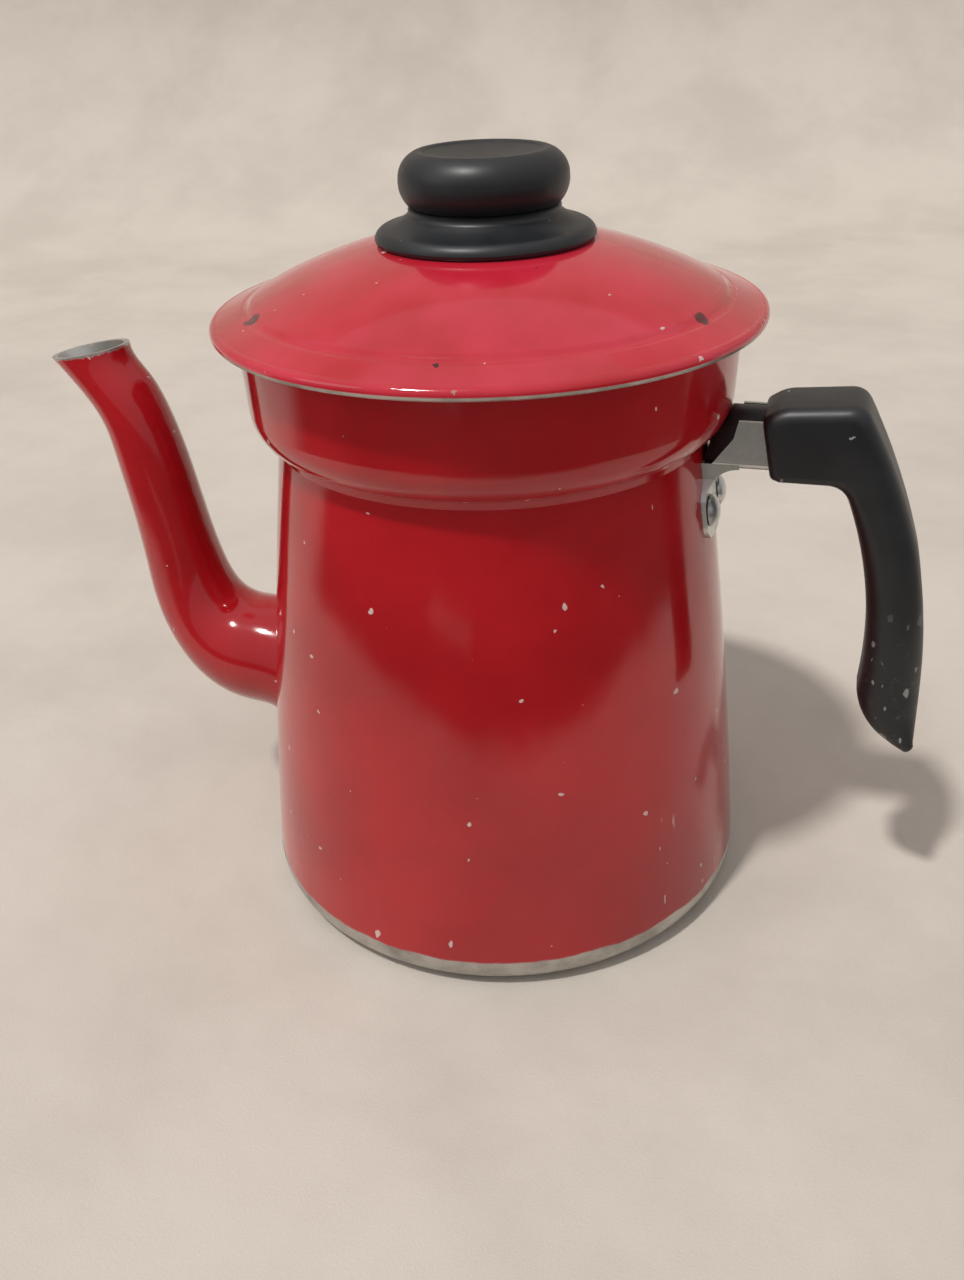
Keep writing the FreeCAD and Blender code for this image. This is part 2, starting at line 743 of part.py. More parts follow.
nodes = [item for item in doc.Objects if item.TypeId == "PartDesign::Body"]
os.makedirs("parts", exist_ok=True)
for node in nodes:
    shape = node.Shape
    if shape.isNull() or not shape.isValid():
        raise RuntimeError(f"{node.Label} has no valid shape")
    box = shape.BoundBox
    print(f"{node.Label:22s} solids {len(shape.Solids)} volume {shape.Volume:10.1f} "
          f"x {box.XMin:7.1f} {box.XMax:7.1f} y {box.YMin:6.1f} {box.YMax:6.1f} z {box.ZMin:6.1f} {box.ZMax:6.1f}")
for node in nodes:
    node.Shape.exportStep(f"parts/{node.Label}.step")
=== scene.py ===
"""Looks of the red coffee pot: worn enamel paint, bare aluminium, moulded handle and knob.

Row frame in metres: +Z up, origin at the centre of the base, spout along -X, handle along +X.
"""
import math

import bpy
import numpy as np
from mathutils import Matrix, Vector


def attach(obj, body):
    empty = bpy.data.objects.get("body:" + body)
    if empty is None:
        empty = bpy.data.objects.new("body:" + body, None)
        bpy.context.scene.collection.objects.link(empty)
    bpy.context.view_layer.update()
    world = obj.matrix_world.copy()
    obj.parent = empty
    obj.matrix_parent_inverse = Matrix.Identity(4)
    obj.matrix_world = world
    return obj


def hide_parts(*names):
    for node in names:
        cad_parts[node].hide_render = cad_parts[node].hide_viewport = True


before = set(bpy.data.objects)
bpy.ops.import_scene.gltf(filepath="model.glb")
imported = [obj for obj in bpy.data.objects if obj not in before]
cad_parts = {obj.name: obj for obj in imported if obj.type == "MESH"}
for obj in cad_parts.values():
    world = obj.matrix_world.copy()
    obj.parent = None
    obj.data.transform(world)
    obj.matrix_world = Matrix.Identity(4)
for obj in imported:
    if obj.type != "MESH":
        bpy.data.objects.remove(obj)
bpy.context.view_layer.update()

MM = 0.001

# ---------------------------------------------------------------- node graphs


class Graph:
    """A material's node tree, built from the surface back."""

    def __init__(self, name):
        self.material = bpy.data.materials.new(name)
        self.material.use_nodes = True
        self.tree = self.material.node_tree
        self.tree.nodes.clear()
        self.place = self.node("ShaderNodeTexCoord").outputs["Object"]
        self.normal = self.node("ShaderNodeNewGeometry").outputs["Normal"]

    def node(self, kind, inputs=None, **settings):
        made = self.tree.nodes.new(kind)
        for key, value in settings.items():
            setattr(made, key, value)
        for key, value in (inputs or {}).items():
            self.feed(made.inputs[key], value)
        return made

    def feed(self, socket, value):
        if isinstance(value, bpy.types.NodeSocket):
            self.tree.links.new(value, socket)
        elif isinstance(value, tuple) and len(value) == 3 and socket.type == "RGBA":
            socket.default_value = (*value, 1.0)
        else:
            socket.default_value = value

    def math(self, operation, first, second=0.0, clamp=False):
        made = self.node("ShaderNodeMath", {0: first, 1: second}, operation=operation)
        made.use_clamp = clamp
        return made.outputs[0]

    def times(self, first, second):
        return self.math("MULTIPLY", first, second)

    def union(self, *masks):
        total = masks[0]
        for mask in masks[1:]:
            total = self.math("MAXIMUM", total, mask)
        return total

    def vector(self, operation, first, second=(0.0, 0.0, 0.0)):
        made = self.node("ShaderNodeVectorMath", {0: first, 1: second}, operation=operation)
        return made.outputs["Value" if operation in ("DOT_PRODUCT", "LENGTH", "DISTANCE") else "Vector"]

    def ramp(self, value, low, high, to_low=0.0, to_high=1.0):
        made = self.node("ShaderNodeMapRange", {"Value": value, "From Min": low, "From Max": high,
                                                "To Min": to_low, "To Max": to_high},
                         interpolation_type="SMOOTHSTEP")
        return made.outputs["Result"]

    def mix(self, factor, first, second):
        made = self.node("ShaderNodeMix", data_type="RGBA")
        self.feed(made.inputs[0], factor)
        self.feed(made.inputs[6], first)
        self.feed(made.inputs[7], second)
        return made.outputs[2]

    def split(self, vector=None):
        made = self.node("ShaderNodeSeparateXYZ", {0: self.place if vector is None else vector})
        return made.outputs[0], made.outputs[1], made.outputs[2]

    def height(self):
        return self.split()[2]

    def from_axis(self):
        """Vector from the pot's axis, level."""
        return self.vector("MULTIPLY", self.place, (1.0, 1.0, 0.0))

    def reach(self):
        return self.vector("LENGTH", self.from_axis())

    def noise(self, scale, detail=4.0, rough=0.55, vector=None):
        made = self.node("ShaderNodeTexNoise", {"Vector": self.place if vector is None else vector,
                                                "Scale": scale, "Detail": detail, "Roughness": rough})
        return made.outputs["Fac"]

    def about_zero(self, scale, amount, detail=4.0):
        """Noise that goes as far below 0 as above it."""
        return self.times(self.math("SUBTRACT", self.noise(scale, detail), 0.5), amount)

    def shifted(self, offset, stretch=(1.0, 1.0, 1.0), turn=(0.0, 0.0, 0.0)):
        made = self.node("ShaderNodeMapping", {"Vector": self.place, "Location": offset,
                                               "Rotation": turn, "Scale": stretch})
        return made.outputs["Vector"]

    def specks(self, scale, radius, share, vector=None, wobble=0.35):
        """1 inside small irregular spots, of which only a share of the cells has one."""
        base = self.place if vector is None else vector
        grain = self.node("ShaderNodeTexNoise", {"Vector": base, "Scale": scale * 3, "Detail": 2.0})
        warped = self.vector("ADD", base, self.scaled(grain.outputs["Color"], wobble / scale))
        cells = self.node("ShaderNodeTexVoronoi", {"Vector": warped, "Scale": scale})
        red = self.node("ShaderNodeSeparateColor", {0: cells.outputs["Color"]})
        size = self.times(self.math("POWER", red.outputs[1], 1.6), radius)
        past_edge = self.math("SUBTRACT", cells.outputs["Distance"], size)
        inside = self.ramp(past_edge, 0.0, radius * 0.18, 1.0, 0.0)
        chosen = self.math("LESS_THAN", red.outputs[0], share)
        return self.times(inside, chosen)

    def scaled(self, vector, factor):
        made = self.node("ShaderNodeVectorMath", {0: vector, "Scale": factor}, operation="SCALE")
        return made.outputs["Vector"]

    def near(self, point, radius, soft, ragged=0.0, ragged_scale=900.0):
        """1 within a radius of a point, with a ragged edge."""
        distance = self.vector("DISTANCE", self.place, tuple(point))
        if ragged:
            distance = self.math("ADD", distance, self.about_zero(ragged_scale, ragged))
        return self.ramp(distance, radius - soft, radius + soft, 1.0, 0.0)

    def bump(self, height, strength, distance, normal=None):
        made = self.node("ShaderNodeBump", {"Height": height, "Strength": strength, "Distance": distance})
        if normal is not None:
            self.feed(made.inputs["Normal"], normal)
        return made.outputs["Normal"]

    def surface(self, **inputs):
        names = {key.replace("_", " "): value for key, value in inputs.items()}
        shader = self.node("ShaderNodeBsdfPrincipled", names)
        self.node("ShaderNodeOutputMaterial", {"Surface": shader.outputs["BSDF"]})
        return self.material


PAINT = (0.430, 0.0075, 0.0130)
PAINT_DEEP = (0.330, 0.0050, 0.0090)
# Paler, pinker red that the lid is drawn in.
PAINT_PALE_PINK = (0.580, 0.0220, 0.0480)
PAINT_DARK_CHIP = (0.050, 0.0040, 0.0060)
DUST = (0.640, 0.520, 0.480)
ALUMINIUM = (0.560, 0.540, 0.500)
ALUMINIUM_DULL = (0.330, 0.310, 0.280)


def bare_metal_colour(g):
    stained = g.ramp(g.noise(60.0, 6.0, 0.65), 0.40, 0.68)
    return g.mix(stained, ALUMINIUM, ALUMINIUM_DULL)


def paint(name, bare, chips=(), scratched=None, dull=0.085, wear=None, tones=(PAINT, PAINT_DEEP)):
    """Enamel paint. bare and wear are functions that give the masks of unpainted and rubbed metal.

    chips is a list of (centre, radius), scratched is one (centre, radius), dull is the roughness.
    """
    g = Graph(name)
    bare_mask = bare(g)

    broad = g.ramp(g.noise(22.0, 3.0), 0.35, 0.70)
    red = g.mix(broad, *tones)
    mottled = g.ramp(g.noise(260.0, 5.0, 0.7), 0.45, 0.75, 0.0, 0.22)
    red = g.mix(mottled, red, tones[1])

    spots = g.union(g.specks(75.0, 0.070, 0.80), g.specks(150.0, 0.120, 0.50, g.shifted((0.31, 0.17, 0.05))))
    pits = g.specks(70.0, 0.050, 0.35, g.shifted((0.11, 0.43, 0.27)))
    hairs = g.specks(60.0, 0.070, 0.16, g.shifted((0.2, 0.6, 0.1), (3.0, 3.0, 0.5), (0.25, 0.1, 0.0)))
    if scratched is not None:
        centre, radius = scratched
        zone = g.near(centre, radius, radius * 0.5)
        lines = g.specks(150.0, 0.16, 0.50, g.shifted((0.5, 0.1, 0.9), (2.2, 2.2, 0.35), (0.2, 0.35, 0.0)))
        hairs = g.union(hairs, g.times(lines, zone))
    red = g.mix(pits, red, PAINT_DARK_CHIP)
    red = g.mix(g.times(g.union(spots, hairs), 0.85), red, DUST)
    if chips:
        dark = g.union(*(g.near(centre, radius, 0.0004, 0.0022, 420.0) for centre, radius in chips))
        red = g.mix(g.times(dark, 0.9), red, PAINT_DARK_CHIP)
    if wear is not None:
        bare_mask = g.union(bare_mask, wear(g))
    painted = g.math("SUBTRACT", 1.0, bare_mask)
    colour = g.mix(bare_mask, red, bare_metal_colour(g))

    scuffed = g.ramp(g.noise(18.0, 6.0, 0.6, g.shifted((0.3, 0.3, 0.3))), 0.50, 0.75, 0.0, 0.10)
    gloss = g.math("ADD", g.math("ADD", dull, scuffed),
                   g.times(g.noise(700.0, 3.0), 0.05))
    rough = g.math("ADD", g.times(painted, gloss),
                   g.times(bare_mask, g.math("ADD", 0.30, g.times(g.noise(140.0, 6.0, 0.7), 0.30))))
    rough = g.math("MAXIMUM", rough, g.times(g.union(spots, hairs, pits), 0.7))

    waves = g.bump(g.noise(34.0, 2.0, 0.4), 0.16, 0.0012)
    peel = g.bump(g.noise(1300.0, 3.0, 0.5), 0.05, 0.00012, waves)
    raised = g.math("SUBTRACT", g.union(spots, hairs), g.union(pits, bare_mask))
    relief = g.bump(raised, 0.45, 0.00012, peel)
    return g.surface(Base_Color=colour, Metallic=g.times(bare_mask, 0.92), Roughness=rough, IOR=1.5,
                     Specular_IOR_Level=0.5, Normal=relief,
                     Coat_Weight=g.times(painted, 0.35), Coat_Roughness=0.04)


# Where paint ends and bare metal starts, in metres: pairs are the two ends of the change.
BOTTOM_EDGE = (0.0088, 0.0096)
FLOOR_TOP, FLOOR_RADIUS = (0.012, 0.014), (0.066, 0.067)
MOUTH_BEAD = (0.1672, 0.1678)
NECK_INSIDE_FROM = (0.127, 0.131)
SPOUT_TIP, SPOUT_NECK = Vector((-0.1191, 0.0, 0.1510)), Vector((-0.1113, 0.0, 0.1392))
SPOUT_CUT_RISE = math.radians(80.0)
SPOUT_CUT_EDGE = (-0.0009, -0.0003)
SKIRT_TOP, SKIRT_RADIUS = (0.1698, 0.1702), (0.0618, 0.0621)
RIM_LOW, RIM_HIGH = (0.1662, 0.1668), (0.1676, 0.1682)


def facing_axis(g):
    """1 on surfaces that face the pot's own axis."""
    outward = g.vector("DOT_PRODUCT", g.vector("NORMALIZE", g.from_axis()), g.normal)
    return g.ramp(outward, -0.15, -0.05, 1.0, 0.0)


def below(g, value, edge):
    return g.ramp(value, *edge, 1.0, 0.0)


def ragged_height(g, amount, scale):
    return g.math("ADD", g.height(), g.about_zero(scale, amount, 3.0))


def pot_bare(g):
    """Rounded bottom edge, underside and the whole inside."""
    low = below(g, ragged_height(g, 0.0022, 90.0), BOTTOM_EDGE)
    inner_floor = g.times(below(g, g.height(), FLOOR_TOP), below(g, g.reach(), FLOOR_RADIUS))
    return g.union(low, facing_axis(g), inner_floor)


def pot_wear(g):
    """Bead at the mouth, where the lid rubs."""
    return g.ramp(ragged_height(g, 0.0012, 300.0), *MOUTH_BEAD)


def spout_bare(g):
    """Inside of the neck and the cut end, past which the paint has worn a little."""
    direction = tuple((SPOUT_TIP - SPOUT_NECK).normalized())
    from_tip = g.vector("SUBTRACT", g.place, tuple(SPOUT_TIP))
    run = g.vector("DOT_PRODUCT", from_tip, direction)
    across = g.vector("SUBTRACT", from_tip, g.scaled(direction, run))
    inward = g.ramp(g.vector("DOT_PRODUCT", across, g.normal), -0.0010, -0.0004, 1.0, 0.0)
    high = g.ramp(g.height(), *NECK_INSIDE_FROM)
    cut_normal = (-math.cos(SPOUT_CUT_RISE), 0.0, math.sin(SPOUT_CUT_RISE))
    level = g.math("ADD", g.vector("DOT_PRODUCT", from_tip, cut_normal), g.about_zero(450.0, 0.0022))
    return g.union(g.times(inward, high), g.ramp(level, *SPOUT_CUT_EDGE))


def lid_bare(g):
    """Underside, locating skirt and the lower half of the rolled rim."""
    under = g.ramp(g.split(g.normal)[2], -0.30, -0.15, 1.0, 0.0)
    skirt = g.times(below(g, g.height(), SKIRT_TOP), below(g, g.reach(), SKIRT_RADIUS))
    return g.union(under, skirt)


def lid_wear(g):
    """Paint rubbed through here and there on the outer edge of the rolled rim."""
    rim = g.times(g.ramp(g.height(), *RIM_LOW), below(g, g.height(), RIM_HIGH))
    return g.times(rim, g.ramp(g.noise(230.0, 5.0, 0.7), 0.685, 0.70))


def nothing_bare(g):
    """A mask that is 0 on the whole pot, for a seam that is painted all over."""
    return g.near((0.0, 0.0, 0.5), 0.001, 0.0005)


PHENOLIC = (0.0075, 0.0085, 0.0100)
# Grey used for dust and random clouding, and also as a painted highlight on surfaces that face up.
PHENOLIC_DUST_AND_HIGHLIGHT = (0.0210, 0.0240, 0.0265)
PHENOLIC_RUBBED = (0.100, 0.105, 0.105)
PHENOLIC_CHIPPED = (0.330, 0.330, 0.320)
WORN_FADE = 0.012


def phenolic(name, worn_below=None):
    """Black moulded plastic with a satin skin, rubbed and scuffed."""
    g = Graph(name)
    # Surfaces that face up are painted lighter: partly dust, partly a painted highlight where the light
    # falls on the tops.
    upward = g.ramp(g.split(g.normal)[2], 0.2, 0.95)
    dust_and_top_highlight = g.times(upward, g.ramp(g.noise(120.0, 5.0), 0.35, 0.70, 0.25, 0.75))
    colour = g.mix(g.times(dust_and_top_highlight, 0.5), PHENOLIC, PHENOLIC_DUST_AND_HIGHLIGHT)
    cloudy = g.ramp(g.noise(45.0, 5.0, 0.6), 0.42, 0.72, 0.0, 0.35)
    colour = g.mix(cloudy, colour, PHENOLIC_DUST_AND_HIGHLIGHT)
    flecks = g.specks(130.0, 0.085, 0.30, g.shifted((0.7, 0.2, 0.4)))
    marks = g.specks(160.0, 0.10, 0.10, g.shifted((0.4, 0.1, 0.2), (2.0, 2.0, 0.4), (0.15, 0.0, 0.0)))
    light = g.union(flecks, marks)
    if worn_below is not None:
        zone = below(g, g.height(), (worn_below - WORN_FADE, worn_below + WORN_FADE))
        rubbed = g.times(g.ramp(g.noise(420.0, 6.0, 0.75), 0.56, 0.70), zone)
        chipped = g.union(g.specks(300.0, 0.34, 0.85, g.shifted((0.9, 0.3, 0.6), (1.0, 1.0, 0.55))),
                          g.specks(210.0, 0.26, 0.70, g.shifted((0.2, 0.8, 0.5), (1.0, 1.0, 0.7))))
        colour = g.mix(g.times(rubbed, 0.40), colour, PHENOLIC_RUBBED)
        light = g.union(light, g.times(chipped, zone))
    colour = g.mix(g.times(light, 0.75), colour, PHENOLIC_CHIPPED)
    rough = g.math("ADD", 0.33, g.times(g.noise(90.0, 6.0, 0.65), 0.20))
    rough = g.math("MAXIMUM", rough, g.times(light, 0.75))
    pores = g.bump(g.noise(1500.0, 4.0, 0.6), 0.10, 0.0001)
    waves = g.bump(g.noise(70.0, 2.0), 0.10, 0.0006, pores)
    dents = g.bump(g.math("SUBTRACT", 1.0, light), 0.5, 0.00015, waves)
    return g.surface(Base_Color=colour, Metallic=0.0, Roughness=rough, IOR=1.55, Normal=dents)


def metal(name, colour, dull, rough, grain=(1.0, 1.0, 1.0), tarnish=0.5, dents=0.25):
    """Sheet or turned metal with fine drawn marks and tarnish."""
    g = Graph(name)
    clouds = g.ramp(g.noise(150.0, 6.0, 0.65), 0.40, 0.72, 0.0, tarnish)
    tone = g.mix(clouds, colour, dull)
    marks = g.noise(900.0, 5.0, 0.7, g.shifted((0.0, 0.0, 0.0), grain))
    spots = g.specks(330.0, 0.14, 0.20)
    tone = g.mix(g.times(spots, 0.7), tone, tuple(0.35 * c for c in dull))
    shine = g.math("ADD", rough, g.times(marks, 0.22))
    shine = g.math("ADD", shine, g.times(clouds, 0.20))
    relief = g.bump(marks, 0.14, 0.0001)
    relief = g.bump(g.noise(160.0, 3.0), dents, 0.0005, relief)
    return g.surface(Base_Color=tone, Metallic=1.0, Roughness=shine, Normal=relief)


# ---------------------------------------------------------------- outlines in millimetres


def arc_points(start, end, radius, turn, count):
    """Points after start up to end on an arc; turn is 1 counter-clockwise and -1 clockwise."""
    start, end = np.array(start, float), np.array(end, float)
    chord = end - start
    length = np.hypot(*chord)
    left = np.array([-chord[1], chord[0]]) / length
    centre = (start + end) / 2 + left * math.sqrt(max(radius ** 2 - length ** 2 / 4, 0.0)) * turn
    first = math.atan2(*(start - centre)[::-1])
    last = math.atan2(*(end - centre)[::-1])
    sweep = (last - first) * turn % (2 * math.pi) * turn
    angles = first + sweep * np.linspace(0, 1, count + 1)[1:]
    return [tuple(centre + radius * np.array([math.cos(a), math.sin(a)])) for a in angles]


SIDE_FOOT, SIDE_TOP = (71.2, 7.8), (56.8, 135.6)
SIDE_BOW = 1800.0
NECK, COLLAR_FOOT, COLLAR_TOP = (57.1, 137.5), (63.2, 147.0), (64.0, 168.0)
COLLAR_BEND = 10.7


def side_radius(height):
    """Outer radius of the pot in millimetres at a height, up to the mouth."""
    if height <= SIDE_TOP[1]:
        share = (height - SIDE_FOOT[1]) / (SIDE_TOP[1] - SIDE_FOOT[1])
        chord = math.dist(SIDE_FOOT, SIDE_TOP)
        straight = SIDE_FOOT[0] + (SIDE_TOP[0] - SIDE_FOOT[0]) * share
        return straight + chord ** 2 * share * (1 - share) / (2 * SIDE_BOW)
    outline = [NECK] + arc_points(NECK, COLLAR_FOOT, COLLAR_BEND, 1, 16) + [COLLAR_TOP]
    return float(np.interp(height, [p[1] for p in outline], [p[0] for p in outline]))


ALMOST = 0.985


def mesh_piece(name, vertices, faces, material, body, slot_name):
    mesh = bpy.data.meshes.new(name)
    mesh.from_pydata([tuple(v) for v in vertices], [], faces)
    mesh.validate()
    made = bpy.data.objects.new(name, mesh)
    bpy.context.scene.collection.objects.link(made)
    mesh.materials.append(material)
    mesh.polygons.foreach_set("use_smooth", [True] * len(mesh.polygons))
    mesh.update()
    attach(made, body)
    return made


def lofted(rings):
    """Vertices and faces of a closed skin over rings that all have the same number of points."""
    count = len(rings[0])
    vertices = [p for ring in rings for p in ring]
    faces = []
    for level in range(len(rings) - 1):
        for k in range(count):
            after = (k + 1) % count
            faces.append((level * count + k, level * count + after,
                          (level + 1) * count + after, (level + 1) * count + k))
    faces.append(tuple(reversed(range(count))))
    faces.append(tuple(range((len(rings) - 1) * count, len(rings) * count)))
    return vertices, faces


def rounded_section(half_across, half_wide, radius_out, radius_in, steps=7):
    """Outline of a rounded rectangle, first coordinate across the grip and second along Y."""
    limit = min(half_across, half_wide) * ALMOST
    corners = [(1, 1, min(radius_out, limit)), (-1, 1, min(radius_in, limit)),
               (-1, -1, min(radius_in, limit)), (1, -1, min(radius_out, limit))]
    ring = []
    for number, (side_a, side_b, radius) in enumerate(corners):
        for k in range(steps + 1):
            angle = math.pi / 2 * (number + k / steps)
            ring.append((side_a * (half_across - radius) + radius * math.cos(angle),
                         side_b * (half_wide - radius) + radius * math.sin(angle)))
    return ring


# ---------------------------------------------------------------- handle, (x, z) in millimetres

BLOCK_LOW, BLOCK_HIGH = 128.4, 148.6
FRONT_LOW, FRONT_HIGH = (74.2, BLOCK_LOW), (70.9, 145.0)
CROWN, CROWN_BACK = (76.4, 147.4), (91.8, BLOCK_HIGH)
ELBOW, LEG_TOP, LEG_FOOT, TOE = (87.4, BLOCK_LOW), (93.3, BLOCK_LOW - 4.0), (101.7, 67.8), (115.4, 52.4)
ELBOW_BEND, LEG_BEND, TOE_BEND = 6.3, 127.0, 19.0
BACK_TOP, BACK_MIDDLE, BACK_FOOT = (96.4, 146.2), (111.9, 110.4), (117.9, 53.6)
CROWN_BEND, BACK_BEND, FOOT_BEND = 5.0, 177.0, 197.0
# Heights on the back where the turn round the elbow starts and ends, and where the last ring is.
TURN_FROM, TURN_TO, LAST_RING = 145.6, 140.5, 54.6
RING_TILT = 2.5
# Radii of the long edges, (outer, inner), from the block to the toe.
EDGES_BLOCK, EDGES_ELBOW, EDGES_LEG, EDGES_TOE = (3.4, 2.4), (4.6, 4.0), (7.8, 6.0), (4.8, 3.5)
BLOCK_RINGS, TURN_RINGS, LEG_RINGS, TOE_RINGS, CAP_RINGS = 12, 14, 60, 22, 5
FRONT_ROUND, TOE_ROUND = 1.8, 1.1
# Half widths along Y at the two heights between which the grip tapers.
WIDE_LOW, WIDE_HIGH = (48.4, 8.8), (150.6, 11.0)
SCREW_X = 84.0
RECESS = {"screw_recess": (4.8, 120.0, 130.6), "screw_bore": (2.2, 128.0, 143.0)}
TONGUE_LOW, TONGUE_HIGH, TONGUE_HALF = 131.8, 144.6, 6.7
TONGUE_EDGES = (5.8, 0.9)
TONGUE_GAP = 0.35
TONGUE_STATIONS = (66.5, 70.0, 74.0, 80.0)


def between(first, last, share):
    return tuple(a + (b - a) * share for a, b in zip(first, last))


def along(points, share):
    """Point at a share of a polyline's length."""
    steps = [math.dist(a, b) for a, b in zip(points, points[1:])]
    total, want = 0.0, share * sum(steps)
    for a, b, step in zip(points, points[1:], steps):
        if total + step >= want - 1e-9:
            return between(a, b, (want - total) / step if step else 0.0)
        total += step
    return points[-1]


def grip_pairs():
    """Matched points (inner, outer, round_out, round_in) from the block's front to the toe."""
    elbow = [ELBOW] + arc_points(ELBOW, LEG_TOP, ELBOW_BEND, -1, 8)
    inner_leg = [LEG_TOP] + arc_points(LEG_TOP, LEG_FOOT, LEG_BEND, -1, 60)
    inner_toe = [LEG_FOOT] + arc_points(LEG_FOOT, TOE, TOE_BEND, 1, 24)
    top = [FRONT_HIGH, CROWN, CROWN_BACK]
    crown_back = [CROWN_BACK] + arc_points(CROWN_BACK, BACK_TOP, CROWN_BEND, -1, 10)
    back = [BACK_TOP] + arc_points(BACK_TOP, BACK_MIDDLE, BACK_BEND, -1, 40)
    back += arc_points(BACK_MIDDLE, BACK_FOOT, FOOT_BEND, -1, 60)
    upward = back[::-1]

    def back_at(height):
        return (float(np.interp(height, [p[1] for p in upward], [p[0] for p in upward])), height)

    pairs = []
    for k in range(BLOCK_RINGS + 1):
        share = k / BLOCK_RINGS
        pairs.append((along([FRONT_LOW, ELBOW], share), along(top, share * ALMOST), *EDGES_BLOCK))
    around = [along(top, 0.99)] + crown_back + [back_at(z) for z in np.linspace(TURN_FROM, TURN_TO, 8)]
    for k in range(1, TURN_RINGS + 1):
        share = k / TURN_RINGS
        edges = between(EDGES_BLOCK, EDGES_ELBOW, share)
        pairs.append((along(elbow, share), along(around, share), *edges))
    for k in range(1, LEG_RINGS + 1):
        share = k / LEG_RINGS
        inner = along(inner_leg, share)
        rise = RING_TILT + (TURN_TO - LEG_TOP[1] - RING_TILT) * (1 - share) ** 3.2
        edges = between(EDGES_ELBOW, EDGES_LEG, min(1.0, share * 2.2))
        pairs.append((inner, back_at(inner[1] + rise), *edges))
    start = LEG_FOOT[1] + RING_TILT
    for k in range(1, TOE_RINGS + 1):
        share = k / TOE_RINGS
        outer = back_at(start + (LAST_RING - start) * share ** 0.9)
        pairs.append((along(inner_toe, share * ALMOST), outer, *between(EDGES_LEG, EDGES_TOE, share)))
    return pairs


def grip_ring(inner, outer, radius_out, radius_in, inset=0.0, shift=0.0):
    """Section of the grip between two points, drawn in by inset and moved along by shift."""
    inner, outer = np.array(inner), np.array(outer)
    middle, reach = (inner + outer) / 2, (outer - inner) / 2
    half = np.hypot(*reach)
    across = reach / half
    forward = np.array([across[1], -across[0]])
    share = (middle[1] - WIDE_LOW[0]) / (WIDE_HIGH[0] - WIDE_LOW[0])
    wide = WIDE_LOW[1] + (WIDE_HIGH[1] - WIDE_LOW[1]) * share
    section = rounded_section(max(half - inset, 0.15), max(wide - inset, 0.15),
                              max(radius_out - inset, 0.1), max(radius_in - inset, 0.1))
    ring = []
    for a, b in section:
        spot = middle + across * a + forward * shift
        ring.append((spot[0] * MM, b * MM, spot[1] * MM))
    return ring


def grip_moulding(material):
    """Block and curved grip, rounded at the front and at the toe."""
    pairs = grip_pairs()
    first, last = pairs[0], pairs[-1]
    rings = []
    for k in range(CAP_RINGS):
        angle = math.pi / 2 * k / CAP_RINGS
        rings.append(grip_ring(*first, inset=FRONT_ROUND * (1 - math.sin(angle)),
                               shift=FRONT_ROUND * (1 - math.cos(angle))))
    rings += [grip_ring(*pair) for pair in pairs if pair[0][0] > FRONT_LOW[0] + FRONT_ROUND]
    for k in range(1, CAP_RINGS + 1):
        angle = math.pi / 2 * k / CAP_RINGS
        rings.append(grip_ring(*last, inset=TOE_ROUND * (1 - math.cos(angle)),
                               shift=TOE_ROUND * math.sin(angle)))
    grip = mesh_piece("grip_moulding", *lofted(rings), material, "pot", "black_phenolic")
    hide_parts("handle_grip")
    return grip


def cut_screw_recess(grip):
    """Recess and bore for the screw that comes up from under the block."""
    for name, (radius, low, high) in RECESS.items():
        bpy.ops.mesh.primitive_cylinder_add(vertices=48, radius=radius * MM, depth=(high - low) * MM,
                                            location=(SCREW_X * MM, 0.0, (low + high) / 2 * MM))
        cutter = bpy.context.object
        cutter.name = f"cutter_{name}"
        cutter.hide_render = True
        cutter.hide_viewport = True
        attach(cutter, "pot")
        cut = grip.modifiers.new(name, "BOOLEAN")
        cut.operation = "DIFFERENCE"
        cut.object = cutter
        cut.solver = "EXACT"


def tongue_moulding(material):
    """Tongue from the block to the side of the pot, inside the bracket's channel."""
    middle, half = (TONGUE_LOW + TONGUE_HIGH) / 2, (TONGUE_HIGH - TONGUE_LOW) / 2
    section = [(b, middle + a) for a, b in rounded_section(half, TONGUE_HALF, *TONGUE_EDGES, 6)]
    at_pot = [math.sqrt((side_radius(z) + TONGUE_GAP) ** 2 - y ** 2) for y, z in section]
    rings = [[(x * MM, y * MM, z * MM) for x, (y, z) in zip(at_pot, section)]]
    rings += [[(x * MM, y * MM, z * MM) for y, z in section] for x in TONGUE_STATIONS]
    mesh_piece("tongue_moulding", *lofted(rings), material, "pot", "black_phenolic")


# ---------------------------------------------------------------- seam of the spout, millimetres

SEAM_RISE = math.radians(13.0)
SEAM_START = (-66.0, 0.0, 54.6)
SEAM_RADIUS, SEAM_THICK = 17.75, 0.75
SEAM_POINTS, HALVINGS = 96, 50


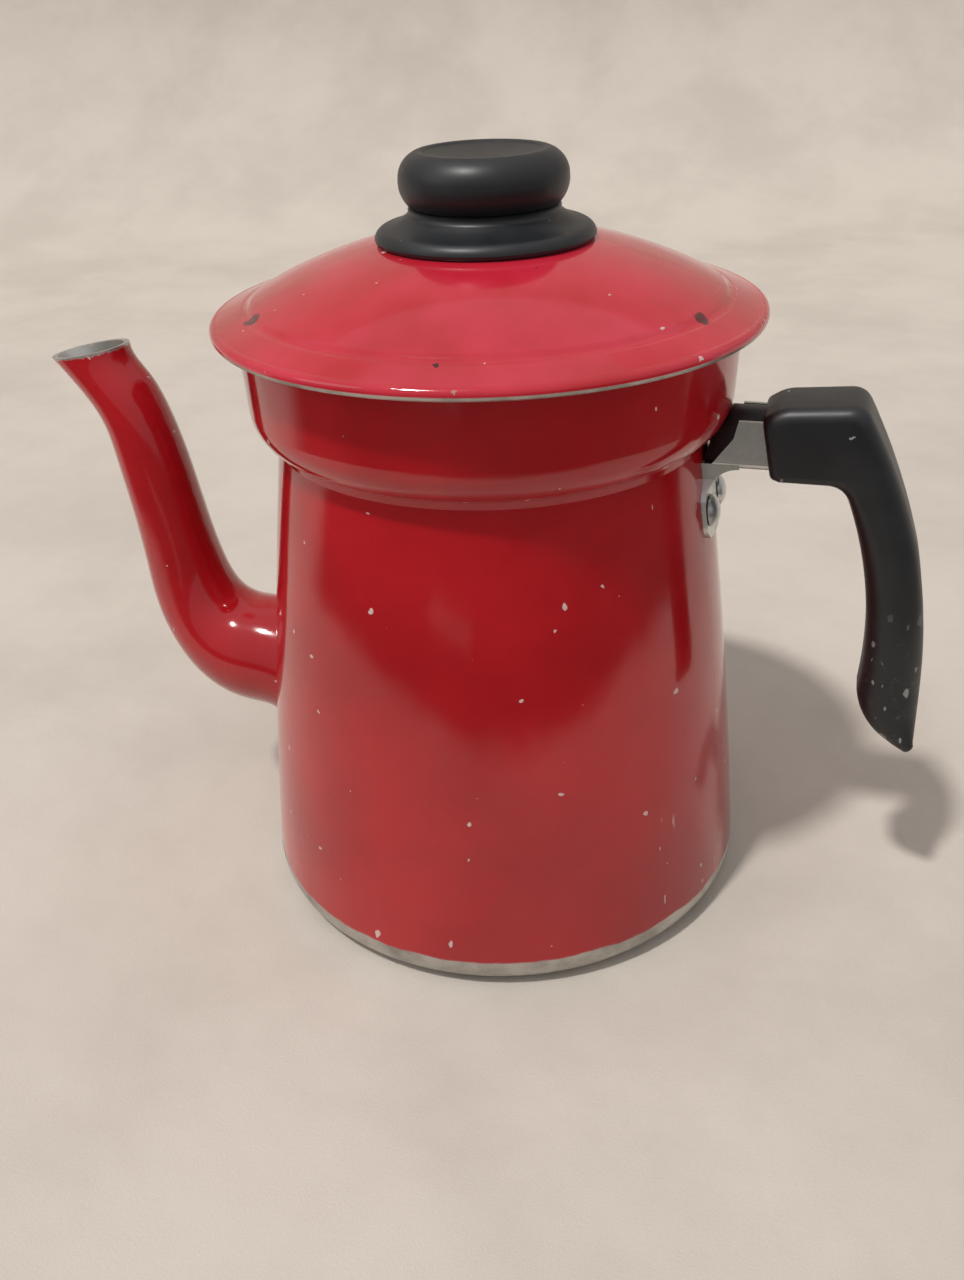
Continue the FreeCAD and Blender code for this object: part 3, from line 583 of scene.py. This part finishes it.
def spout_seam(material):
    """Filled seam where the spout meets the side of the pot."""
    axis = np.array([-math.cos(SEAM_RISE), 0.0, math.sin(SEAM_RISE)])
    up = np.array([math.sin(SEAM_RISE), 0.0, math.cos(SEAM_RISE)])
    side = np.array([0.0, 1.0, 0.0])
    points = []
    for k in range(SEAM_POINTS):
        angle = 2 * math.pi * k / SEAM_POINTS
        rim = np.array(SEAM_START) + SEAM_RADIUS * (math.cos(angle) * up + math.sin(angle) * side)
        low, high = -30.0, 30.0
        for _ in range(HALVINGS):
            middle = (low + high) / 2
            spot = rim + axis * middle
            if math.hypot(spot[0], spot[1]) < side_radius(spot[2]):
                low = middle
            else:
                high = middle
        points.append(rim + axis * low)
    curve = bpy.data.curves.new("spout_seam", "CURVE")
    curve.dimensions = "3D"
    curve.bevel_depth = SEAM_THICK * MM
    curve.bevel_resolution = 4
    spline = curve.splines.new("POLY")
    spline.points.add(len(points) - 1)
    for point, spot in zip(spline.points, points):
        point.co = (*(spot * MM), 1.0)
    spline.use_cyclic_u = True
    curve.materials.append(material)
    seam = bpy.data.objects.new("spout_seam", curve)
    bpy.context.scene.collection.objects.link(seam)
    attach(seam, "pot")


# ---------------------------------------------------------------- materials on the pieces


def cover(node, material):
    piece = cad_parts[node]
    piece.data.materials.clear()
    piece.data.materials.append(material)


SCRATCHED_PATCH = ((0.052, -0.050, 0.022), 0.022)
LID_CHIPS = [((-0.0476, -0.0367, 0.1712), 0.0024), ((0.0560, -0.0212, 0.1712), 0.0022)]
TOE_WEAR_TOP = 0.088

red_pot = paint("red_paint_pot", pot_bare, scratched=SCRATCHED_PATCH, wear=pot_wear)
red_spout = paint("red_paint_spout", spout_bare)
red_seam = paint("red_paint_seam", nothing_bare, dull=0.20)
# The lid is drawn in a paler, pinker red than the pot.
red_lid = paint("red_paint_lid", lid_bare, chips=LID_CHIPS, wear=lid_wear, tones=(PAINT_PALE_PINK, PAINT))
black_knob = phenolic("phenolic_knob")
black_grip = phenolic("phenolic_grip", worn_below=TOE_WEAR_TOP)
bracket = metal("bracket_sheet", (0.66, 0.69, 0.66), (0.40, 0.45, 0.42), 0.20, (1.0, 6.0, 6.0))
rivet = metal("rivet_metal", (0.70, 0.71, 0.70), (0.34, 0.36, 0.35), 0.20)
steel = metal("plated_steel", (0.55, 0.55, 0.56), (0.28, 0.27, 0.26), 0.26)
brass = metal("turned_brass", (0.70, 0.48, 0.18), (0.36, 0.24, 0.09), 0.28, (1.0, 1.0, 8.0))

FINISHES = {
    "pot_body": red_pot, "spout": red_spout, "lid": red_lid, "knob_base": black_knob,
    "knob_grip": black_knob, "handle_grip": black_grip, "handle_bracket": bracket,
    "bracket_rivets": rivet, "knob_insert": brass, "handle_insert": brass,
    "knob_screw": steel, "handle_screw": steel, "knob_washer": steel, "handle_screw_washer": steel,
}
for node, finish in FINISHES.items():
    cover(node, finish)

cut_screw_recess(grip_moulding(black_grip))
tongue_moulding(black_grip)
spout_seam(red_seam)

# ---------------------------------------------------------------- floor, backdrop, light, camera

HEADING = math.radians(17.0)
ALONG = Vector((-math.sin(HEADING), math.cos(HEADING), 0.0))
ACROSS = Vector((math.cos(HEADING), math.sin(HEADING), 0.0))

CLOTH, CLOTH_SHADED, CLOTH_THREAD = (0.640, 0.580, 0.515), (0.560, 0.505, 0.445), (0.450, 0.405, 0.350)
ROOM_DARK = (0.030, 0.022, 0.020)
DARK_FROM = 0.215
SHEET_FRONT = (-2.4, -1.2, -0.6, -0.3, 0.0, 0.4)
SHEET_UP = (0.2, 0.5, 1.0, 1.8)
SHEET_BEND, SHEET_BEHIND, SHEET_LEAN, BEND_STEPS = 0.35, 1.20, math.radians(8.0), 14


def stage_material():
    """Pale woven cloth. In reflections the floor in front goes dark, as an open room does, but for
    one paler patch that lies like a window in it."""
    g = Graph("stage_cloth")
    weave = g.noise(1400.0, 3.0, 0.6)
    patches = g.ramp(g.noise(9.0, 5.0, 0.6), 0.35, 0.70)
    tone = g.mix(patches, CLOTH, CLOTH_SHADED)
    tone = g.mix(g.times(weave, 0.25), tone, CLOTH_THREAD)

    ahead = g.vector("DOT_PRODUCT", g.place, tuple(-ALONG))
    aside = g.vector("DOT_PRODUCT", g.place, tuple(ACROSS))
    reach = g.reach()
    sideways = g.math("POWER", g.math("ABSOLUTE", g.math("DIVIDE", aside, reach)), 2.0)
    edge = g.math("ADD", DARK_FROM, g.times(sideways, 0.11))
    beyond = g.math("SUBTRACT", g.math("ADD", reach, g.about_zero(6.0, 0.10, 3.0)), edge)
    far = g.times(g.ramp(beyond, 0.0, 0.06), g.ramp(ahead, -0.10, 0.02))
    patch = g.times(g.ramp(ahead, 0.40, 0.42), below(g, ahead, (0.47, 0.50)))
    patch = g.times(patch, g.times(g.ramp(aside, -0.30, -0.26), below(g, aside, (-0.12, -0.09))))
    far = g.times(far, g.math("SUBTRACT", 1.0, g.times(patch, 0.55)))
    glossy = g.node("ShaderNodeLightPath").outputs["Is Glossy Ray"]
    tone = g.mix(g.times(g.times(far, glossy), 0.93), tone, ROOM_DARK)

    relief = g.bump(weave, 0.25, 0.0006)
    relief = g.bump(g.noise(14.0, 3.0), 0.30, 0.010, relief)
    return g.surface(Base_Color=tone, Metallic=0.0, Roughness=0.92, Specular_IOR_Level=0.15, Normal=relief)


def stage_sheet():
    """Seat and back in one sheet: level, then curving up behind the pot."""
    profile = [(place, 0.0) for place in SHEET_FRONT]
    for k in range(BEND_STEPS + 1):
        angle = (math.pi / 2 - SHEET_LEAN) * k / BEND_STEPS
        profile.append((SHEET_BEHIND - SHEET_BEND + SHEET_BEND * math.sin(angle),
                        SHEET_BEND * (1 - math.cos(angle))))
    last = profile[-1]
    for reach in SHEET_UP:
        profile.append((last[0] + reach * math.sin(SHEET_LEAN), last[1] + reach * math.cos(SHEET_LEAN)))
    columns = np.linspace(-2.2, 2.2, 45)
    vertices = []
    for forward, up in profile:
        for across in columns:
            spot = ALONG * forward + ACROSS * float(across)
            vertices.append((spot.x, spot.y, up))
    faces = []
    width = len(columns)
    for row in range(len(profile) - 1):
        for k in range(width - 1):
            first = row * width + k
            faces.append((first, first + 1, first + 1 + width, first + width))
    mesh = bpy.data.meshes.new("stage_sheet")
    mesh.from_pydata(vertices, [], faces)
    mesh.polygons.foreach_set("use_smooth", [True] * len(mesh.polygons))
    mesh.materials.append(stage_material())
    sheet = bpy.data.objects.new("stage_sheet", mesh)
    bpy.context.scene.collection.objects.link(sheet)


stage_sheet()


# Directions from the pot to the lights, and where the fill light points.
KEY_DIRECTION, FILL_DIRECTION = Vector((-0.229, -0.367, 0.902)), Vector((-0.75, -0.55, 0.55))
FILL_TARGET, FILL_DISTANCE = Vector((0.0, 0.0, 0.09)), 1.6


def add_light(name, kind, power, colour, direction):
    light = bpy.data.lights.new(name, kind)
    light.energy = power
    light.color = colour
    lamp = bpy.data.objects.new(name, light)
    lamp.rotation_mode = "QUATERNION"
    lamp.rotation_quaternion = (-direction).to_track_quat("-Z", "Y")
    bpy.context.scene.collection.objects.link(lamp)
    return lamp


key = add_light("key", "SUN", 1.95, (1.0, 0.97, 0.94), KEY_DIRECTION)
key.data.angle = math.radians(4.4)
fill = add_light("fill", "AREA", 1.6, (0.93, 0.96, 1.0), FILL_DIRECTION)
fill.data.shape = "DISK"
fill.data.size = 0.8
fill.location = FILL_TARGET + FILL_DIRECTION.normalized() * FILL_DISTANCE


def room():
    """Even light from all round, stronger from above."""
    world = bpy.data.worlds.new("room")
    bpy.context.scene.world = world
    world.use_nodes = True
    tree = world.node_tree
    tree.nodes.clear()
    coordinates = tree.nodes.new("ShaderNodeTexCoord")
    split = tree.nodes.new("ShaderNodeSeparateXYZ")
    tree.links.new(coordinates.outputs["Generated"], split.inputs[0])
    height = tree.nodes.new("ShaderNodeMapRange")
    for socket, value in {"From Min": -0.2, "From Max": 0.9, "To Min": 0.30, "To Max": 0.62}.items():
        height.inputs[socket].default_value = value
    tree.links.new(split.outputs[2], height.inputs["Value"])
    background = tree.nodes.new("ShaderNodeBackground")
    background.inputs["Color"].default_value = (0.98, 0.98, 1.0, 1.0)
    tree.links.new(height.outputs["Result"], background.inputs["Strength"])
    output = tree.nodes.new("ShaderNodeOutputWorld")
    tree.links.new(background.outputs[0], output.inputs["Surface"])


room()

CAMERA_PLACE = (0.08512, -0.29603, 0.2459)
CAMERA_RIGHT = (0.96159283, 0.27203014, -0.03659004)
CAMERA_UP = (-0.10505437, 0.48791134, 0.86654784)
CAMERA_BACK = (0.25357983, -0.82942224, 0.49775)

camera_data = bpy.data.cameras.new("camera")
camera_data.lens = 33.75
camera_data.sensor_width = 36.0
camera_data.sensor_fit = "AUTO"
camera_data.clip_start = 0.01
camera_data.clip_end = 20.0
camera = bpy.data.objects.new("camera", camera_data)
turned = Matrix((CAMERA_RIGHT, CAMERA_UP, CAMERA_BACK)).transposed()
camera.matrix_world = Matrix.Translation(CAMERA_PLACE) @ turned.to_4x4()
bpy.context.scene.collection.objects.link(camera)
bpy.context.scene.camera = camera
bpy.context.scene.view_settings.view_transform = "Standard"
